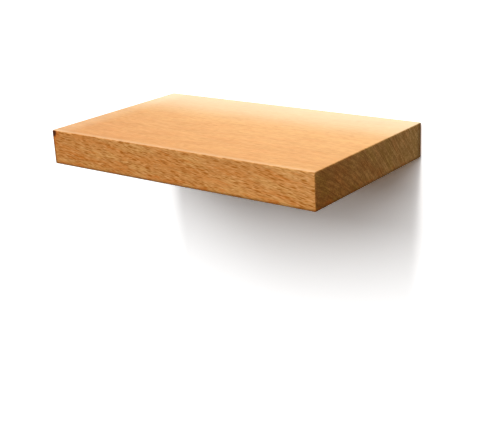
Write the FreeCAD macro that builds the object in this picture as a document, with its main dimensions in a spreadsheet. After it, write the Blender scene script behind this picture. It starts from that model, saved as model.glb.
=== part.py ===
import FreeCAD, Part
import math
import os
import re
import Sketcher

# Small wall shelf of solid beech with two magnets set into its underside, to hang steel things from.
# Frame: X runs along the wall, Y points into the wall, Z is up. The origin is the centre of the
# back face, so the shelf lies at negative Y and its mid-thickness is at Z = 0. Millimetres.

SIZES = {
    # The board
    "board_length": 135,
    "board_depth": 80,
    "board_thickness": 15,
    "edge_radius": 0.5,
    # The magnets: a ring in a steel cup, let into the underside
    "magnet_inset": 42.5,
    "magnet_setback": 40,
    "cup_diameter": 20,
    "cup_height": 6,
    "cup_wall": 1.5,
    "cup_base": 2,
    "cup_chamfer": 0.3,
    "cup_clearance": 0.1,
    "pocket_chamfer": 0.3,
    "magnet_gap": 0.4,
    "magnet_chamfer": 0.2,
    # The wood screw through each magnet
    "head_diameter": 7.6,
    "head_sink": 0.3,
    "shank_diameter": 3.5,
    "shank_clearance": 0.35,
    "pilot_clearance": 0.05,
    "tip_length": 3,
    "tip_cover": 2.7,
    "cross_span": 4.2,
    "cross_arm": 1.1,
    "cross_bottom": 1.2,
    "cross_depth": 1.7,
    # The steel plate that is screwed to the wall
    "plate_thickness": 3,
    "plate_edge": 1.4,
    "plate_clearance": 0.2,
    "plate_chamfer": 0.3,
    "wall_hole_spacing": 40,
    "wall_hole_diameter": 4,
    "wall_head_diameter": 7.2,
    # The rods riveted into the plate
    "rod_wall": 7,
    "rod_diameter": 6,
    "rod_reach": 50,
    "rod_chamfer": 0.8,
    "rod_clearance": 0.15,
    "rod_end_gap": 1,
    "rod_shoulder": 0.75,
    "rivet_flare": 0.7,
    "drill_angle": 118,
    # The grub screws that hold the board on the rods
    "lock_setback": 14,
    "lock_diameter": 4,
    "lock_clearance": 0.05,
    "lock_sink": 0.4,
    "lock_gap": 0.05,
    "lock_chamfer": 0.4,
    "hex_across_flats": 2,
    "hex_floor": 1.9,
}

# Places and radii that several pieces share
UNDERSIDE = "-board_thickness / 2"
MAGNET_X = "(board_length / 2 - magnet_inset)"
MAGNET_Y = "-magnet_setback"
ROD_X = "(board_length / 2 - magnet_inset + cup_diameter / 2 + rod_wall + rod_diameter / 2)"
LOCK_Y = "-lock_setback"
WALL_HOLE_X = "wall_hole_spacing / 2"
PLATE_RADIUS = "(wall_head_diameter / 2 + plate_edge)"
SPIGOT_RADIUS = "(rod_diameter / 2 - rod_shoulder)"
SCREW_BORE_RADIUS = "(shank_diameter / 2 + shank_clearance)"
ROD_END = "(plate_thickness + rod_reach)"
LOCK_END = "(board_thickness / 2 - rod_diameter / 2 - lock_gap)"
SCREW_END = "(board_thickness - tip_cover)"

SHEET = "Sizes"
SIDES = {"left": "-", "right": ""}
NEAR = 1e-4
START_RADIUS = 10


def start_document():
    """A new document with a table that holds every driving size under its own name."""
    document = FreeCAD.newDocument("wall_shelf")
    table = document.addObject("Spreadsheet::Sheet", SHEET)
    for row, (name, value) in enumerate(SIZES.items(), start=1):
        table.set(f"A{row}", name)
        table.set(f"B{row}", str(value))
        table.setAlias(f"B{row}", name)
    document.recompute()
    return document


doc = start_document()


def bind(item, prop, formula):
    """Ties one property of an object to a formula of the driving sizes."""
    names = re.sub(r"[a-z_]+", lambda word: f"{SHEET}.{word[0]}" if word[0] in SIZES else word[0], formula)
    item.setExpression(prop, names)


def new_body(label, x="0", y="0", z="0"):
    """An empty piece with its own name, placed by formulas of the driving sizes."""
    body = doc.addObject("PartDesign::Body", label)
    body.Label = label
    bind(body, "Placement.Base.x", x)
    bind(body, "Placement.Base.y", y)
    bind(body, "Placement.Base.z", z)
    return body


def new_sketch(body, name, plane, lift="0"):
    """A sketch on one of the piece's own origin planes, lifted along that plane's normal."""
    sketch = body.newObject("Sketcher::SketchObject", name)
    support = next(f for f in body.Origin.OriginFeatures if f.Role == plane)
    sketch.AttachmentSupport = (support, [""])
    sketch.MapMode = "FlatFace"
    bind(sketch, "AttachmentOffset.Base.z", lift)
    return sketch


def dimension(sketch, name, formula, kind, *targets):
    """A named dimension in a sketch, tied to a formula of the driving sizes."""
    index = sketch.addConstraint(Sketcher.Constraint(kind, *targets, 1.0))
    sketch.renameConstraint(index, name)
    bind(sketch, f"Constraints.{name}", formula)


def fix_point(sketch, name, line, end, x, y):
    """Ties one point to the sketch's origin by its place along each axis."""
    for kind, place, axis in (("DistanceX", x, -2), ("DistanceY", y, -1)):
        if place == "0":
            sketch.addConstraint(Sketcher.Constraint("PointOnObject", line, end, axis))
        elif place.startswith("-"):
            dimension(sketch, f"{name}_{kind}", place[1:], kind, line, end, -1, 1)
        else:
            dimension(sketch, f"{name}_{kind}", place, kind, -1, 1, line, end)


def add_outline(sketch, corners):
    """A closed outline of straight lines whose corners are each tied to the origin."""
    count = len(corners)
    turns = [2 * math.pi * i / count for i in range(count)]
    ring = [FreeCAD.Vector(math.cos(a), math.sin(a), 0) * START_RADIUS for a in turns]
    for i in range(count):
        sketch.addGeometry(Part.LineSegment(ring[i], ring[(i + 1) % count]))
    for i, (x, y) in enumerate(corners):
        sketch.addConstraint(Sketcher.Constraint("Coincident", (i - 1) % count, 2, i, 1))
        fix_point(sketch, f"corner_{i}", i, 1, x, y)


def add_block(sketch, half_x, half_y):
    """A rectangle centred on the sketch's origin."""
    add_outline(sketch, [
        (f"-{half_x}", f"-{half_y}"),
        (half_x, f"-{half_y}"),
        (half_x, half_y),
        (f"-{half_x}", half_y),
    ])


def add_circle(sketch, name, radius, x, y):
    """A circle with its centre tied to the origin."""
    start_x = -START_RADIUS if x.startswith("-") else START_RADIUS
    start = FreeCAD.Vector(start_x, -START_RADIUS if y.startswith("-") else 0, 0)
    circle = sketch.addGeometry(Part.Circle(start, FreeCAD.Vector(0, 0, 1), 1))
    dimension(sketch, f"{name}_radius", radius, "Radius", circle)
    fix_point(sketch, name, circle, 3, x, y)


def add_pair(sketch, radius, x, y):
    """Two equal circles, one each side of the piece's middle."""
    for side, sign in SIDES.items():
        add_circle(sketch, side, radius, f"{sign}{x}", y)


def add_slot(sketch, half_span, radius):
    """A slot outline along X: two half circles joined by tangent lines."""
    up = FreeCAD.Vector(0, 0, 1)
    centre = FreeCAD.Vector(START_RADIUS, 0, 0)
    for middle, first in ((centre, -math.pi / 2), (centre * -1, math.pi / 2)):
        sketch.addGeometry(Part.ArcOfCircle(Part.Circle(middle, up, 1), first, first + math.pi))
    for y, way in ((1, -1), (-1, 1)):
        start = FreeCAD.Vector(-way * START_RADIUS, y, 0)
        sketch.addGeometry(Part.LineSegment(start, FreeCAD.Vector(way * START_RADIUS, y, 0)))
    for first, second in ((0, 2), (2, 1), (1, 3), (3, 0)):
        sketch.addConstraint(Sketcher.Constraint("Tangent", first, 2, second, 1))
    sketch.addConstraint(Sketcher.Constraint("Equal", 0, 1))
    dimension(sketch, "end_radius", radius, "Radius", 0)
    fix_point(sketch, "right_centre", 0, 3, half_span, "0")
    fix_point(sketch, "left_centre", 1, 3, f"-{half_span}", "0")


def pad(body, name, sketch, length):
    """A straight block raised along the sketch's normal."""
    block = body.newObject("PartDesign::Pad", name)
    block.Profile = sketch
    bind(block, "Length", length)
    doc.recompute()
    return block


def turn(body, corners, plane="XZ_Plane"):
    """A turned solid: an outline of (radius, height) corners swept round the vertical of its plane."""
    sketch = new_sketch(body, f"{body.Name}_section", plane)
    add_outline(sketch, corners)
    solid = body.newObject("PartDesign::Revolution", f"{body.Name}_turned")
    solid.Profile = sketch
    solid.ReferenceAxis = (sketch, ["V_Axis"])
    solid.Angle = 360
    doc.recompute()
    return solid


def check_cut(feature):
    """Stops if a cut took nothing away."""
    doc.recompute()
    if not feature.Shape.Volume < feature.BaseFeature.Shape.Volume - NEAR:
        raise RuntimeError(f"{feature.Name} cuts nothing")
    return feature


def pocket(body, name, sketch, depth):
    """A flat-bottomed cut along the sketch's normal."""
    feature = body.newObject("PartDesign::Pocket", name)
    feature.Profile = sketch
    feature.Reversed = True
    bind(feature, "Length", depth)
    return check_cut(feature)


def drill(body, name, sketch, radius, depth):
    """Blind bores with a drill's conical end at the circles of a sketch, along its normal."""
    doc.recompute()
    feature = body.newObject("PartDesign::Hole", name)
    feature.Profile = sketch
    feature.Reversed = True
    feature.DepthType = "Dimension"
    feature.DrillPoint = "Angled"
    bind(feature, "Diameter", f"2 * {radius}")
    bind(feature, "Depth", depth)
    bind(feature, "DrillPointAngle", "drill_angle")
    return check_cut(feature)


def edges_at(feature, axis, level, radius=None):
    """The edges that lie on one plane across an axis, or only the arcs of one radius among them."""
    names = []
    for i, edge in enumerate(feature.Shape.Edges, start=1):
        low, high = getattr(edge.BoundBox, f"{axis}Min"), getattr(edge.BoundBox, f"{axis}Max")
        if edge.Degenerated or max(abs(low - level), abs(high - level)) > NEAR:
            continue
        if radius is None or isinstance(edge.Curve, Part.Circle) and abs(edge.Curve.Radius - radius) < NEAR:
            names.append(f"Edge{i}")
    if not names:
        raise RuntimeError(f"{feature.Name} has no edge at {axis} = {level}")
    return names


def bevel(body, name, feature, edges, width):
    """A flat 45 degree bevel along the given edges."""
    cut = body.newObject("PartDesign::Chamfer", name)
    cut.Base = (feature, edges)
    bind(cut, "Size", width)
    return check_cut(cut)


def shelf_board():
    """The beech board, its edges eased, with the recess and bores of its fixing and the magnets' pockets."""
    body = new_body("shelf_board")
    outline = new_sketch(body, "board_outline", "XY_Plane", UNDERSIDE)
    front, left, right = "-board_depth", "-board_length / 2", "board_length / 2"
    add_outline(outline, [(left, front), (right, front), (right, "0"), (left, "0")])
    slab = pad(body, "board_slab", outline, "board_thickness")
    eased = body.newObject("PartDesign::Fillet", "eased_edges")
    eased.Base = (slab, [f"Edge{i}" for i in range(1, len(slab.Shape.Edges) + 1)])
    bind(eased, "Radius", "edge_radius")
    check_cut(eased)

    recess = new_sketch(body, "plate_outline", "XZ_Plane")
    add_slot(recess, ROD_X, f"{PLATE_RADIUS} + plate_clearance")
    pocket(body, "plate_recess", recess, "plate_thickness")
    bores = new_sketch(body, "rod_centres", "XZ_Plane")
    bore_radius = "(rod_diameter / 2 + rod_clearance)"
    add_pair(bores, bore_radius, ROD_X, "0")
    drill(body, "rod_bores", bores, bore_radius, f"{ROD_END} + rod_end_gap")

    seats = new_sketch(body, "magnet_centres", "XY_Plane", UNDERSIDE)
    add_pair(seats, "cup_diameter / 2 + cup_clearance", MAGNET_X, MAGNET_Y)
    seat_pockets = pocket(body, "magnet_pockets", seats, "cup_height")
    seat_radius = seats.getDatum("left_radius").Value
    rims = edges_at(seat_pockets, "Z", seats.Placement.Base.z, seat_radius)
    bevel(body, "pocket_rims", seat_pockets, rims, "pocket_chamfer")
    pilots = new_sketch(body, "pilot_centres", "XY_Plane", UNDERSIDE)
    pilot_radius = "(shank_diameter / 2 + pilot_clearance)"
    add_pair(pilots, pilot_radius, MAGNET_X, MAGNET_Y)
    drill(body, "pilot_holes", pilots, pilot_radius, SCREW_END)

    locks = new_sketch(body, "lock_centres", "XY_Plane", UNDERSIDE)
    add_pair(locks, "lock_diameter / 2 + lock_clearance", ROD_X, LOCK_Y)
    pocket(body, "lock_holes", locks, "board_thickness / 2")


def wall_plate():
    """The steel plate in the back recess: two countersunk wall holes between the two riveted rods."""
    body = new_body("wall_plate")
    outline = new_sketch(body, "strip_outline", "XZ_Plane")
    add_slot(outline, ROD_X, PLATE_RADIUS)
    strip = pad(body, "strip", outline, "plate_thickness")
    wall_side = bevel(body, "back_edge", strip, edges_at(strip, "Y", 0), "plate_chamfer")
    spigots = new_sketch(body, "spigot_centres", "XZ_Plane")
    add_pair(spigots, SPIGOT_RADIUS, ROD_X, "0")
    spigot_holes = pocket(body, "spigot_holes", spigots, "plate_thickness")
    flares = edges_at(spigot_holes, "Y", 0, spigots.getDatum("left_radius").Value)
    bevel(body, "rivet_flares", spigot_holes, flares, "rivet_flare")
    holes = new_sketch(body, "wall_hole_centres", "XZ_Plane")
    add_pair(holes, "wall_hole_diameter / 2", WALL_HOLE_X, "0")
    wall_holes = pocket(body, "wall_holes", holes, "plate_thickness")
    front = wall_side.Shape.BoundBox.YMin
    mouths = edges_at(wall_holes, "Y", front, holes.getDatum("left_radius").Value)
    bevel(body, "countersinks", wall_holes, mouths, "(wall_head_diameter - wall_hole_diameter) / 2")


def rod(side, sign):
    """A steel rod: its spigot fills the plate's hole and flares into it, its far end is bevelled."""
    body = new_body(f"rod_{side}", x=f"{sign}{ROD_X}")
    turn(body, [
        ("0", "0"),
        (f"{SPIGOT_RADIUS} + rivet_flare", "0"),
        (SPIGOT_RADIUS, "-rivet_flare"),
        (SPIGOT_RADIUS, "-plate_thickness"),
        ("rod_diameter / 2", "-plate_thickness"),
        ("rod_diameter / 2", f"-({ROD_END} - rod_chamfer)"),
        ("rod_diameter / 2 - rod_chamfer", f"-{ROD_END}"),
        ("0", f"-{ROD_END}"),
    ], "XY_Plane")


def lock_screw(side, sign):
    """A hexagon socket grub screw that stands just under its rod."""
    body = new_body(f"lock_screw_{side}", f"{sign}{ROD_X}", LOCK_Y, UNDERSIDE)
    turn(body, [
        ("0", "lock_sink"),
        ("lock_diameter / 2 - lock_chamfer", "lock_sink"),
        ("lock_diameter / 2", "lock_sink + lock_chamfer"),
        ("lock_diameter / 2", f"{LOCK_END} - lock_chamfer"),
        ("lock_diameter / 2 - lock_chamfer", LOCK_END),
        ("0", LOCK_END),
    ])
    socket = new_sketch(body, f"{body.Name}_hexagon", "XY_Plane", "lock_sink")
    corner, middle, flat = "hex_across_flats / sqrt(3)", "hex_across_flats / sqrt(12)", "hex_across_flats / 2"
    add_outline(socket, [
        (corner, "0"),
        (middle, flat),
        (f"-{middle}", flat),
        (f"-{corner}", "0"),
        (f"-{middle}", f"-{flat}"),
        (middle, f"-{flat}"),
    ])
    pocket(body, f"{body.Name}_socket", socket, f"{LOCK_END} - lock_sink - hex_floor")


def magnet_cup(side, sign):
    """The steel cup round a magnet, open downward and flush with the underside."""
    body = new_body(f"magnet_cup_{side}", f"{sign}{MAGNET_X}", MAGNET_Y, UNDERSIDE)
    turn(body, [
        ("cup_diameter / 2 - cup_wall", "0"),
        ("cup_diameter / 2 - cup_chamfer", "0"),
        ("cup_diameter / 2", "cup_chamfer"),
        ("cup_diameter / 2", "cup_height"),
        (SCREW_BORE_RADIUS, "cup_height"),
        (SCREW_BORE_RADIUS, "cup_height - cup_base"),
        ("cup_diameter / 2 - cup_wall", "cup_height - cup_base"),
    ])


def magnet(side, sign):
    """A ring magnet that fills the cup's height, its bore countersunk for the screw's head."""
    body = new_body(f"magnet_{side}", f"{sign}{MAGNET_X}", MAGNET_Y, UNDERSIDE)
    rim = "(cup_diameter / 2 - cup_wall - magnet_gap)"
    top = "(cup_height - cup_base)"
    mouth = "(head_diameter / 2 + head_sink)"
    turn(body, [
        (mouth, "0"),
        (f"{rim} - magnet_chamfer", "0"),
        (rim, "magnet_chamfer"),
        (rim, top),
        (SCREW_BORE_RADIUS, top),
        (SCREW_BORE_RADIUS, f"{mouth} - {SCREW_BORE_RADIUS}"),
    ])


def magnet_screw(side, sign):
    """A countersunk wood screw with a cross recess, its head seated in the magnet."""
    body = new_body(f"magnet_screw_{side}", f"{sign}{MAGNET_X}", MAGNET_Y, UNDERSIDE)
    turn(body, [
        ("0", "head_sink"),
        ("head_diameter / 2", "head_sink"),
        ("shank_diameter / 2", "head_sink + head_diameter / 2 - shank_diameter / 2"),
        ("shank_diameter / 2", f"{SCREW_END} - tip_length"),
        ("0", SCREW_END),
    ])
    mouth = new_sketch(body, f"{body.Name}_slot_mouth", "XY_Plane", "head_sink")
    add_block(mouth, "cross_span / 2", "cross_arm / 2")
    bottom = new_sketch(body, f"{body.Name}_slot_bottom", "XY_Plane", "head_sink + cross_depth")
    add_block(bottom, "cross_bottom / 2", "cross_arm / 2")
    slot = body.newObject("PartDesign::SubtractiveLoft", f"{body.Name}_slot")
    slot.Profile = mouth
    slot.Sections = [bottom]
    check_cut(slot)
    cross = body.newObject("PartDesign::PolarPattern", f"{body.Name}_cross")
    cross.Originals = [slot]
    cross.Axis = (mouth, ["N_Axis"])
    cross.Angle = 90
    cross.Occurrences = 2
    body.Tip = cross
    check_cut(cross)


def check_and_write():
    """Stops if any feature failed or a piece isn't one sound solid, then writes every piece."""
    doc.recompute()
    for item in doc.Objects:
        if {"Invalid", "Error"} & set(item.State):
            raise RuntimeError(f"{item.Name} failed")
        if item.TypeId == "Sketcher::SketchObject" and not item.FullyConstrained:
            raise RuntimeError(f"{item.Name} has a loose line")
    bodies = [item for item in doc.Objects if item.TypeId == "PartDesign::Body"]
    for body in bodies:
        if body.Shape.isNull() or not body.Shape.isValid() or len(body.Shape.Solids) != 1:
            raise RuntimeError(f"{body.Label} isn't one sound solid")
    os.makedirs("parts", exist_ok=True)
    for body in bodies:
        body.Shape.exportStep(f"parts/{body.Label}.step")


shelf_board()
wall_plate()
for side_name, side_sign in SIDES.items():
    rod(side_name, side_sign)
    lock_screw(side_name, side_sign)
    magnet_cup(side_name, side_sign)
    magnet(side_name, side_sign)
    magnet_screw(side_name, side_sign)
check_and_write()
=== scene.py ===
"""A small beech wall shelf with two magnets under it: its finishes, and its wall, light and camera.

Lengths are in metres in the part's own frame: X along the wall, Y into the wall, Z up, origin at the
centre of the board's back face. Lengths inside a finish are in millimetres, because they are all small.
"""
import math

import bpy
from mathutils import Euler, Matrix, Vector


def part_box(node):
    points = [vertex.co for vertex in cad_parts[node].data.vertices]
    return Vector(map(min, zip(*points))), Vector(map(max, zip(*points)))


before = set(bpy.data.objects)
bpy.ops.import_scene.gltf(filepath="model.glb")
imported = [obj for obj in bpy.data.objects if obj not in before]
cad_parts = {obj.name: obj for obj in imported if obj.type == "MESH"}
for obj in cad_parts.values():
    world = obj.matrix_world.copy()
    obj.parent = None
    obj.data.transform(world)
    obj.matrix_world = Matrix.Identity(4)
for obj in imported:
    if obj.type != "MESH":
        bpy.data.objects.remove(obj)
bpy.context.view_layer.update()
BOARD_LOW, BOARD_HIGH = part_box("shelf_board")
SIDES = ("left", "right")
MM = 1000.0

# The camera that the photograph's edges give: a 71 mm lens on a 36 mm sensor, tilted by a few degrees
CAMERA_PLACE = (0.2530, -0.3581, 0.1090)
CAMERA_AZIMUTH = 37.73
CAMERA_ELEVATION = 19.17
CAMERA_ROLL = -2.93
CAMERA_LENS = 71.3
CAMERA_SENSOR = 36.0

# The log that the board was sawn from: its pith in front of and below the board, the angle by which its
# fibres run down to the right, its rings, and the radii between which its wood turns from dark to pale
PITH_Y = -117.5
PITH_Z = -68.0
FIBRE_LEAN = 7.0
RING_WIDTH = 2.3
RING_DRIFT = 3.0
RING_WANDER = 4.0
MEAN_RADIUS = 110.0
HEART_RADIUS = 78.0
OUTER_RADIUS = 140.0

# How long the features of the wood are: along the fibre, out from the pith, and round it
WANDER_SIZE = (60, 30, 30)
DRIFT_SIZE = (300, 9, 60)
WEAVE_SIZE = (6, 3, 1.4)
LARGE_FLECK_SIZE = (5.0, 6, 0.44)
SMALL_FLECK_SIZE = (2.4, 4, 0.23)
PALE_FLECK_SIZE = (3.2, 4, 0.29)
FIBRE_SIZE = (5.0, 0.5, 0.25)
PATCH_SIZE = (30, 9, 6)
STREAK_SIZE = (10, 1.8, 0.8)
WARMTH_SIZE = (24, 6, 3.5)
END_LINE_SIZE = (200, 0.42, 5)
END_RAY_SIZE = (0.8, 5, 0.40)
END_PORE_SIZE = (3, 0.55, 0.6)
END_CLOUD_SIZE = (30, 5, 14)

# How far the fibres part round a ray, and how much of the grain shows on the top, where light from above
# washes it out
FLECK_WAVE = 0.8
TOP_SHOWING = 0.38

# Painted sheen: the top is painted paler from the middle of its depth to the wall, standing in for the
# bright wall's reflection, and in narrow strips at two of its edges: a painted highlight at the front and a
# painted reflection at the left
SHEEN_START = -38.0
FRONT_HIGHLIGHT_WIDTH = 2.8
LEFT_SHEEN_WIDTH = 14.0

# Widths of the darker bands along the board's edges: oil, a rim that is partly oil and partly painted shade
# where the rounded edges turn from the light, and painted shade on the ends next to the wall. Also the
# share of each band that shows in full, and the size of the oil's patches along X, Y and Z
OIL_WIDTHS = {"under": 3.2, "left": 3.6}
RIM_WIDTHS = {"under": 1.5, "left": 1.8}
WALL_SHADE_WIDTH = 4.5
BAND_CORE = 0.15
OIL_PATCH_SIZE = (6, 6, 2.2)

# A small dark knock on the front left top corner, its soft and ragged rim, and the darker oil round it
KNOCK_PLACE = (-66.8, -80.0, 6.4)
KNOCK_RADIUS = 1.7
KNOCK_SOFTNESS = 1.0
KNOCK_RAGGED_SIZE = (1.2, 1.2, 1.2)
STAIN_RADIUS = 5.5

# The fine marks of the plated steels along X, Y and Z, and the size of the clouds in the metals
ZINC_GRAIN = (18, 0.25, 0.25)
NICKEL_GRAIN = (2.5, 2.5, 0.2)
PLATED_CLOUD_SIZE = (4, 4, 4)
BLACK_CLOUD_SIZE = (0.6, 0.6, 0.6)

# Levels of light, where 1 shows a colour as it is written
AROUND_LEVEL = 0.058
WIDE_LEVEL = 0.94
STRIP_LEVEL = 0.59
ABOVE_LEVEL = 0.55
BEHIND_LEVEL = 0.50

# The wall and the floor: how far they reach, the gap behind the shelf, how bright they are seen, how
# bright they light the rest, and the distance from which metal mirrors the wall
STAGE_REACH = 1.2
FLOOR_HEIGHT = -0.6
WALL_GAP = 0.0003
WALL_SHOWN = 1.5
FLOOR_SHOWN = 1.2
STAGE_TONE = 0.38
MIRRORED_FROM = 0.02


def srgb(red, green, blue):
    """A colour written as it looks on screen, 0 to 255, in the linear light that shaders work in."""
    def linear(value):
        share = value / 255.0
        return share / 12.92 if share <= 0.04045 else ((share + 0.055) / 1.055) ** 2.4
    return (linear(red), linear(green), linear(blue), 1.0)


# Colours of the wood. Where there are two, the first is near the pith and the second far out
FACE_COLOURS = (srgb(209, 147, 84), srgb(221, 177, 119))
FACE_PALES = (srgb(234, 180, 118), srgb(242, 202, 148))
FACE_DARKS = (srgb(150, 82, 4), srgb(178, 114, 36))
FACE_RED = srgb(206, 116, 36)
FACE_STRAW = srgb(218, 170, 100)
FACE_STREAK = srgb(206, 108, 24)
END_COLOURS = (srgb(198, 130, 56), srgb(230, 184, 118))
END_DARKS = (srgb(104, 50, 0), srgb(130, 82, 12))
END_OLIVE = srgb(176, 150, 50)
END_RED = srgb(196, 96, 30)
# Painted sheen: the pale colour laid on the top stands in for the bright wall's reflection
SHEEN_COLOUR = srgb(229, 214, 182)
OIL_COLOUR = srgb(190, 92, 12)
# The rim colour is partly oil on the arris and partly painted shade where the rounded lower and left edges
# turn from the light
RIM_OIL_AND_SHADE_COLOUR = srgb(92, 58, 10)
# Painted shade on the ends next to the wall, where the wall shades them
WALL_SHADE_COLOUR = srgb(84, 54, 24)
STAIN_COLOUR = srgb(186, 90, 16)
KNOCK_COLOUR = srgb(72, 28, 0)

# Colours of the metals
ZINC_TINT = srgb(180, 182, 185)
NICKEL_TINT = srgb(206, 199, 187)
BLACK_COLOURS = (srgb(34, 34, 37), srgb(56, 55, 56))


class Graph:
    """The node tree of a material or of the world, with a short call for each kind of node."""

    def __init__(self, owner):
        owner.use_nodes = True
        self.owner = owner
        self.tree = owner.node_tree
        self.tree.nodes.clear()

    def add(self, kind, inputs=None, **settings):
        """A node with its settings, whose inputs are each a value or another node's output."""
        node = self.tree.nodes.new(kind)
        for name, value in settings.items():
            setattr(node, name, value)
        for socket, value in (inputs or {}).items():
            if isinstance(value, bpy.types.NodeSocket):
                self.tree.links.new(value, node.inputs[socket])
            else:
                node.inputs[socket].default_value = value
        return node

    def math(self, operation, *values):
        """One sum on numbers."""
        return self.add("ShaderNodeMath", dict(enumerate(values)), operation=operation).outputs[0]

    def place(self):
        """The point being shaded, in millimetres in the part's frame: its three numbers."""
        metres = self.add("ShaderNodeTexCoord").outputs["Object"]
        scaled = self.add("ShaderNodeVectorMath", {0: metres, "Scale": MM}, operation="SCALE").outputs[0]
        return tuple(self.add("ShaderNodeSeparateXYZ", {0: scaled}).outputs)

    def facing(self):
        """How far the surface faces along each axis of the part: three numbers from -1 to 1."""
        normal = self.add("ShaderNodeTexCoord").outputs["Normal"]
        return tuple(self.add("ShaderNodeSeparateXYZ", {0: normal}).outputs)

    def stretched(self, place, lengths):
        """The place measured in features of the given length along each axis."""
        parts = [self.math("DIVIDE", axis, length) for axis, length in zip(place, lengths)]
        return self.add("ShaderNodeCombineXYZ", dict(enumerate(parts))).outputs[0]

    def noise(self, place, lengths, detail=2.0, roughness=0.5, seed=0.0):
        """Cloudy variation from 0 to 1 whose features have the given length along each axis."""
        inputs = {"Vector": self.stretched(place, lengths), "W": seed, "Scale": 1.0, "Detail": detail,
                  "Roughness": roughness}
        return self.add("ShaderNodeTexNoise", inputs, noise_dimensions="4D").outputs[0]

    def spindles(self, place, lengths):
        """The distance to the nearest of many scattered spindles, in units of their spacing."""
        inputs = {"Vector": self.stretched(place, lengths), "Scale": 1.0, "Randomness": 0.75}
        node = self.add("ShaderNodeTexVoronoi", inputs, voronoi_dimensions="3D", feature="F1")
        return node.outputs["Distance"]

    def remap(self, value, low, high, to_low=0.0, to_high=1.0, kind="SMOOTHSTEP"):
        """The value moved from one span to another, eased and held at the ends."""
        inputs = {"Value": value, "From Min": low, "From Max": high, "To Min": to_low, "To Max": to_high}
        return self.add("ShaderNodeMapRange", inputs, interpolation_type=kind).outputs[0]

    def blend(self, share, first, second):
        """Two colours mixed by a share from 0 to 1."""
        return self.add("ShaderNodeMix", {0: share, 6: first, 7: second}, data_type="RGBA").outputs[2]

    def layer(self, colour, share, strength, tone):
        """A colour with a tone laid over it, where a share from 0 to 1 says, at the given strength."""
        return self.blend(self.math("MULTIPLY", share, strength), colour, tone)

    def bump(self, height, strength, distance):
        """A relief that follows a height from 0 to 1, as deep as the given distance in millimetres."""
        inputs = {"Height": height, "Strength": strength, "Distance": distance / MM}
        return self.add("ShaderNodeBump", inputs).outputs[0]

    def seen(self):
        """1 for what the camera sees, straight or in metal or glass, and 0 for light on its way."""
        path = self.add("ShaderNodeLightPath").outputs
        straight = self.math("MAXIMUM", path["Is Camera Ray"], path["Is Glossy Ray"])
        return self.math("MAXIMUM", straight, path["Is Transmission Ray"])

    def finish(self, **inputs):
        """The surface shader, and the finished material."""
        named = {name.replace("_", " "): value for name, value in inputs.items()}
        shader = self.add("ShaderNodeBsdfPrincipled", named)
        self.add("ShaderNodeOutputMaterial", {"Surface": shader.outputs[0]})
        return self.owner


def place_in_log(g):
    """The point being shaded as a place in the log: along the fibre, out from the pith, and round it."""
    x, y, z = g.place()
    lean_along, lean_up = math.cos(math.radians(FIBRE_LEAN)), math.sin(math.radians(FIBRE_LEAN))
    along = g.math("SUBTRACT", g.math("MULTIPLY", x, lean_along), g.math("MULTIPLY", z, lean_up))
    rise = g.math("ADD", g.math("MULTIPLY", x, lean_up), g.math("MULTIPLY", z, lean_along))
    out_y = g.math("SUBTRACT", y, PITH_Y)
    out_z = g.math("SUBTRACT", rise, PITH_Z)
    squares = g.math("ADD", g.math("MULTIPLY", out_y, out_y), g.math("MULTIPLY", out_z, out_z))
    uneven = g.math("SUBTRACT", g.noise((along, y, rise), WANDER_SIZE, detail=1.0), 0.5)
    radius = g.math("ADD", g.math("SQRT", squares), g.math("MULTIPLY", uneven, RING_WANDER))
    around = g.math("MULTIPLY", g.math("ARCTAN2", out_z, out_y), MEAN_RADIUS)
    return along, radius, around


def near(g, value, limit, width):
    """How close a number is to a limit in metres: 1 at the limit, and 0 from the given width on."""
    apart = g.math("ABSOLUTE", g.math("SUBTRACT", value, limit * MM))
    return g.remap(apart, width, BAND_CORE * width)


def top_share(g):
    """1 on the top face, and 0 elsewhere."""
    return g.remap(g.facing()[2], 0.5, 0.9)


def end_share(g):
    """1 on the two ends, and 0 elsewhere."""
    return g.remap(g.math("ABSOLUTE", g.facing()[0]), 0.30, 0.95)


def upright_share(g):
    """1 on the four upright faces, and 0 on the top and the underside."""
    return g.remap(g.math("ABSOLUTE", g.facing()[2]), 0.9, 0.5)


def late_wood(g, log):
    """The dark part of the growth rings: each ring darkens slowly and ends in a sharp edge."""
    _, radius, _ = log
    drift = g.math("MULTIPLY", g.noise(log, DRIFT_SIZE, roughness=0.6), RING_DRIFT)
    cycle = g.math("FRACT", g.math("ADD", g.math("DIVIDE", radius, RING_WIDTH), drift))
    return g.math("MULTIPLY", g.remap(cycle, 0.10, 0.80), g.remap(cycle, 1.0, 0.84))


def flecks(g, log):
    """Rays cut across their ends, large and small, and the pale wood between them.

    They are short dashes, wavy because the fibres part round them.
    """
    along, radius, around = log
    weave = g.math("SUBTRACT", g.noise(log, WEAVE_SIZE, seed=11.0), 0.5)
    place = (along, radius, g.math("ADD", around, g.math("MULTIPLY", weave, FLECK_WAVE)))
    large = g.remap(g.spindles(place, LARGE_FLECK_SIZE), 0.44, 0.16)
    small = g.remap(g.noise(place, SMALL_FLECK_SIZE, detail=0.5, seed=2.0), 0.50, 0.64)
    pale = g.remap(g.noise(place, PALE_FLECK_SIZE, detail=0.5, seed=17.0), 0.52, 0.68)
    return large, small, pale


class Wood:
    """The place in the log, and the marks there that more than one part of the finish shows."""

    def __init__(self, g):
        self.log = place_in_log(g)
        self.outward = g.remap(self.log[1], HEART_RADIUS, OUTER_RADIUS, kind="LINEAR")
        self.late = late_wood(g, self.log)
        self.large, self.small, self.pale = flecks(g, self.log)
        self.fibre = g.noise(self.log, FIBRE_SIZE, detail=1.0, seed=5.0)
        self.patch = g.noise(self.log, PATCH_SIZE, roughness=0.55, seed=7.0)


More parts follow.
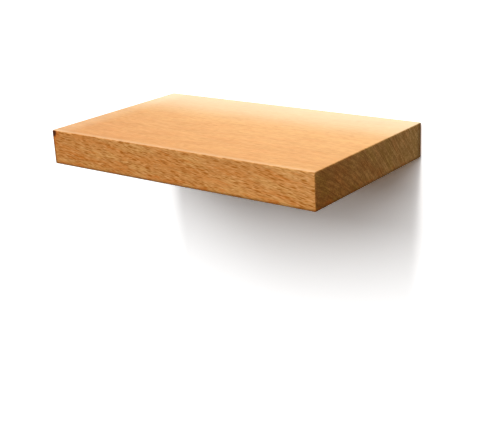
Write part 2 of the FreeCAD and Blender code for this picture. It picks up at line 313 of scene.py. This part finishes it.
def face_grain(g, wood):
    """The colour of the faces sawn along the fibre, a little darker towards the left end."""
    x, _, _ = g.place()
    dark = g.blend(wood.outward, *FACE_DARKS)
    light = g.blend(wood.outward, *FACE_PALES)
    streak = g.noise(wood.log, STREAK_SIZE, seed=9.0)
    warm = g.noise(wood.log, WARMTH_SIZE, seed=31.0)
    showing = g.remap(top_share(g), 0.0, 1.0, 1.0, TOP_SHOWING, "LINEAR")

    colour = g.blend(wood.outward, *FACE_COLOURS)
    colour = g.layer(colour, g.remap(wood.patch, 0.38, 0.66), 0.17, dark)
    colour = g.layer(colour, wood.late, 0.08, dark)
    colour = g.blend(g.remap(x, BOARD_LOW[0] * MM, BOARD_HIGH[0] * MM, 0.16, 0.0), colour, dark)
    strokes = (
        (g.remap(warm, 0.44, 0.64), 0.24, FACE_RED),
        (g.remap(warm, 0.50, 0.36), 0.27, FACE_STRAW),
        (g.remap(streak, 0.52, 0.70), 0.38, FACE_STREAK),
        (g.remap(wood.fibre, 0.40, 0.66), 0.30, dark),
        (wood.pale, 0.38, light),
        (wood.small, 0.44, dark),
        (wood.large, 0.84, dark),
    )
    for share, strength, tone in strokes:
        colour = g.layer(colour, g.math("MULTIPLY", share, showing), strength, tone)
    return colour


def end_grain(g, wood):
    """The colour of the two ends, which drink more oil.

    They show the rings, fine lines along them, the rays across them and the pores.
    """
    lines = g.noise(wood.log, END_LINE_SIZE, roughness=0.6, seed=3.0)
    rays = g.noise(wood.log, END_RAY_SIZE, seed=13.0)
    pores = g.noise(wood.log, END_PORE_SIZE, roughness=0.6, seed=29.0)
    cloud = g.noise(wood.log, END_CLOUD_SIZE, seed=23.0)

    colour = g.blend(wood.outward, *END_COLOURS)
    colour = g.layer(colour, g.remap(cloud, 0.50, 0.66), 0.24, END_OLIVE)
    colour = g.layer(colour, g.remap(cloud, 0.50, 0.36), 0.24, END_RED)
    dark = g.blend(wood.outward, *END_DARKS)
    strokes = (
        (g.remap(wood.patch, 0.40, 0.65), 0.20),
        (wood.late, 0.30),
        (g.remap(lines, 0.36, 0.64), 0.50),
        (g.remap(rays, 0.42, 0.66), 0.20),
        (g.remap(pores, 0.40, 0.62), 0.44),
    )
    for share, strength in strokes:
        colour = g.layer(colour, share, strength, dark)
    return colour


def paint_sheen(g, colour):
    """Painted sheen: a colour paler on the top, standing in for the bright wall's reflection, most of all
    near the wall, and a little at the front and left edges as painted highlight and reflection.
    """
    x, y, _ = g.place()
    sheen_share = g.remap(y, SHEEN_START, BOARD_HIGH[1] * MM, 0.05, 0.66)
    front_highlight = g.math("MULTIPLY", near(g, y, BOARD_LOW[1], FRONT_HIGHLIGHT_WIDTH), 0.18)
    left_sheen = g.math("MULTIPLY", near(g, x, BOARD_LOW[0], LEFT_SHEEN_WIDTH), 0.16)
    sheen_share = g.math("ADD", g.math("ADD", sheen_share, front_highlight), left_sheen)
    return g.blend(g.math("MULTIPLY", top_share(g), sheen_share), colour, SHEEN_COLOUR)


def along_edges(g, widths):
    """How close the place is to the lower or the left edge, each with its own width of band."""
    x, _, z = g.place()
    under = near(g, z, BOARD_LOW[2], widths["under"])
    left = near(g, x, BOARD_LOW[0], widths["left"])
    return g.math("MAXIMUM", under, left)


def oil(g, colour):
    """A colour darker where oil gathered in patches along two edges, with a rim there that is partly oil
    and partly painted shade, and with painted shade on the ends next to the wall.
    """
    place = g.place()
    _, y, _ = place
    upright = upright_share(g)
    patchy = g.remap(g.noise(place, OIL_PATCH_SIZE, seed=19.0), 0.50, 0.64)
    edges = g.math("MULTIPLY", g.math("MULTIPLY", along_edges(g, OIL_WIDTHS), patchy), upright)
    colour = g.layer(colour, edges, 0.50, OIL_COLOUR)
    # The rim along the lower and left edges is partly oil and partly painted shade, where the rounded edges
    # turn away from the light
    colour = g.layer(colour, g.math("MULTIPLY", along_edges(g, RIM_WIDTHS), upright), 0.70, RIM_OIL_AND_SHADE_COLOUR)
    # Painted shade: the ends are darker next to the wall, which shades them
    shade_at_wall = g.math("MULTIPLY", near(g, y, BOARD_HIGH[1], WALL_SHADE_WIDTH), end_share(g))
    return g.layer(colour, shade_at_wall, 0.60, WALL_SHADE_COLOUR)


def knock(g, colour):
    """A colour with the dark knock on one corner, and the stain round it."""
    place = g.place()
    steps = [g.math("SUBTRACT", axis, middle) for axis, middle in zip(place, KNOCK_PLACE)]
    squares = [g.math("MULTIPLY", step, step) for step in steps]
    apart = g.math("SQRT", g.math("ADD", g.math("ADD", squares[0], squares[1]), squares[2]))
    ragged = g.math("ADD", apart, g.noise(place, KNOCK_RAGGED_SIZE, roughness=0.6))
    stained = g.remap(ragged, STAIN_RADIUS, KNOCK_RADIUS)
    knocked = g.remap(ragged, KNOCK_RADIUS + KNOCK_SOFTNESS, KNOCK_RADIUS)
    upright = upright_share(g)
    colour = g.layer(colour, g.math("MULTIPLY", stained, upright), 0.60, STAIN_COLOUR)
    return g.blend(g.math("MULTIPLY", knocked, upright), colour, KNOCK_COLOUR)


def beech():
    """Oiled beech, sawn between its rings and its rays, with darker end grain and short dark ray flecks."""
    g = Graph(bpy.data.materials.new("beech"))
    wood = Wood(g)
    end = end_share(g)
    colour = g.blend(end, face_grain(g, wood), end_grain(g, wood))
    # Painted sheen on the top; then oil, a rim of oil and painted shade, and painted shade at the wall;
    # then the knock
    colour = knock(g, oil(g, paint_sheen(g, colour)))
    relief = g.math("SUBTRACT", g.math("MULTIPLY", wood.fibre, 0.6), g.math("MULTIPLY", wood.large, 0.5))
    gloss = g.math("ADD", g.remap(wood.fibre, 0.3, 0.7, 0.50, 0.62), g.math("MULTIPLY", end, 0.28))
    return g.finish(Base_Color=colour, Roughness=gloss, Specular_IOR_Level=0.07,
                    Normal=g.bump(relief, strength=0.35, distance=0.05))


def bright_steel(name, tint, smooth, rough, grain):
    """Plated steel with fine marks of the given size along each axis."""
    g = Graph(bpy.data.materials.new(name))
    place = g.place()
    marks = g.noise(place, grain, detail=3.0, roughness=0.6)
    cloud = g.noise(place, PLATED_CLOUD_SIZE, seed=3.0)
    dark = tuple(channel * 0.80 for channel in tint[:3]) + (1.0,)
    colour = g.blend(g.remap(cloud, 0.35, 0.65), tint, dark)
    return g.finish(Base_Color=colour, Metallic=1.0, Roughness=g.remap(marks, 0.3, 0.7, smooth, rough),
                    Normal=g.bump(marks, strength=0.25, distance=0.01))


def black_steel():
    """Oiled black oxide on a screw."""
    g = Graph(bpy.data.materials.new("black_steel"))
    cloud = g.noise(g.place(), BLACK_CLOUD_SIZE, detail=3.0, roughness=0.6)
    colour = g.blend(g.remap(cloud, 0.35, 0.65), *BLACK_COLOURS)
    return g.finish(Base_Color=colour, Metallic=0.7, Roughness=g.remap(cloud, 0.3, 0.7, 0.34, 0.52))


def dress():
    """Gives every piece its finish."""
    zinc = bright_steel("zinc_steel", ZINC_TINT, smooth=0.30, rough=0.50, grain=ZINC_GRAIN)
    nickel = bright_steel("nickel_plate", NICKEL_TINT, smooth=0.16, rough=0.32, grain=NICKEL_GRAIN)
    black = black_steel()
    finishes = {"shelf_board": beech(), "wall_plate": zinc}
    for side in SIDES:
        finishes[f"rod_{side}"] = zinc
        finishes[f"lock_screw_{side}"] = black
        finishes[f"magnet_cup_{side}"] = nickel
        finishes[f"magnet_{side}"] = nickel
        finishes[f"magnet_screw_{side}"] = zinc
    for name, finish in finishes.items():
        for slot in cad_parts[name].material_slots:
            slot.material = finish


def make_plane(name, corners):
    """A flat stage piece through four corners."""
    mesh = bpy.data.meshes.new(name)
    mesh.from_pydata(corners, [], [(0, 1, 2, 3)])
    piece = bpy.data.objects.new(name, mesh)
    bpy.context.scene.collection.objects.link(piece)
    return piece


def stage_paint(name, shown, one_sided):
    """Matt paint that is seen brighter than it lights the rest.

    One-sided paint is clear from behind and to what mirrors it from close by, so the shelf's back shows.
    """
    g = Graph(bpy.data.materials.new(name))
    lit = (STAGE_TONE, STAGE_TONE, STAGE_TONE, 1.0)
    tone = g.blend(g.seen(), lit, (shown, shown, shown, 1.0))
    paint = g.add("ShaderNodeBsdfDiffuse", {"Color": tone}).outputs[0]
    if one_sided:
        behind = g.add("ShaderNodeNewGeometry").outputs["Backfacing"]
        path = g.add("ShaderNodeLightPath").outputs
        too_close = g.math("LESS_THAN", path["Ray Length"], MIRRORED_FROM)
        share = g.math("MAXIMUM", behind, g.math("MULTIPLY", path["Is Glossy Ray"], too_close))
        clear = g.add("ShaderNodeBsdfTransparent").outputs[0]
        paint = g.add("ShaderNodeMixShader", {0: share, 1: paint, 2: clear}).outputs[0]
    g.add("ShaderNodeOutputMaterial", {"Surface": paint})
    return g.owner


def make_stage():
    """The wall behind the shelf, which shows from the front only, and a pale floor well below it."""
    reach, low, gap = STAGE_REACH, FLOOR_HEIGHT, WALL_GAP
    wall = make_plane("wall", [(-reach, gap, low), (reach, gap, low),
                               (reach, gap, reach), (-reach, gap, reach)])
    wall.data.materials.append(stage_paint("wall_paint", WALL_SHOWN, one_sided=True))
    wall.visible_shadow = False
    floor = make_plane("floor", [(-reach, -reach, low), (reach, -reach, low),
                                 (reach, reach, low), (-reach, reach, low)])
    floor.data.materials.append(stage_paint("floor_paint", FLOOR_SHOWN, one_sided=False))
    floor.visible_diffuse = False


def area_lamp(name, place, size, level, mirrored=True):
    """A soft lamp aimed at the shelf, which gives the level of light on a surface that faces it."""
    data = bpy.data.lights.new(name, "AREA")
    data.shape = "RECTANGLE"
    data.size, data.size_y = size
    away = Vector(place)
    data.energy = level * math.pi ** 2 * away.length_squared
    lamp = bpy.data.objects.new(name, data)
    lamp.location = away
    lamp.rotation_euler = (-away).to_track_quat("-Z", "Y").to_euler()
    lamp.visible_camera = False
    lamp.visible_glossy = mirrored
    bpy.context.scene.collection.objects.link(lamp)


def make_lights():
    """Even white surroundings, a wide lamp and a tall narrow one in front, and two lamps behind the wall.

    The lamps behind the wall shine through it, onto the shelf's top, back and underside, and not on the
    wall. They don't show in the metal.
    """
    world = bpy.data.worlds.new("surroundings")
    bpy.context.scene.world = world
    g = Graph(world)
    level = g.remap(g.seen(), 0.0, 1.0, AROUND_LEVEL, 1.0, "LINEAR")
    light = g.add("ShaderNodeBackground", {"Color": (1.0, 1.0, 1.0, 1.0), "Strength": level})
    g.add("ShaderNodeOutputWorld", {"Surface": light.outputs[0]})
    area_lamp("front_wide", place=(0.256, -2.285, 1.927), size=(4.84, 1.95), level=WIDE_LEVEL)
    area_lamp("front_strip", place=(0.129, -2.949, 2.230), size=(0.42, 3.78), level=STRIP_LEVEL)
    area_lamp("above", place=(0.0, 0.27, 1.2), size=(0.9, 0.5), level=ABOVE_LEVEL, mirrored=False)
    area_lamp("behind", place=(-0.35, 0.6, -0.56), size=(0.6, 0.4), level=BEHIND_LEVEL, mirrored=False)


def make_camera():
    """The photograph's viewpoint."""
    data = bpy.data.cameras.new("camera")
    data.lens = CAMERA_LENS
    data.sensor_width = CAMERA_SENSOR
    data.sensor_fit = "HORIZONTAL"
    camera = bpy.data.objects.new("camera", data)
    bpy.context.scene.collection.objects.link(camera)
    bpy.context.scene.camera = camera
    level = Euler((math.radians(90 - CAMERA_ELEVATION), 0, math.radians(CAMERA_AZIMUTH))).to_matrix()
    tilt = Euler((0, 0, math.radians(CAMERA_ROLL))).to_matrix()
    camera.matrix_world = (level @ tilt).to_4x4()
    camera.location = CAMERA_PLACE


dress()
make_stage()
make_lights()
make_camera()
bpy.context.scene.view_settings.view_transform = "Standard"
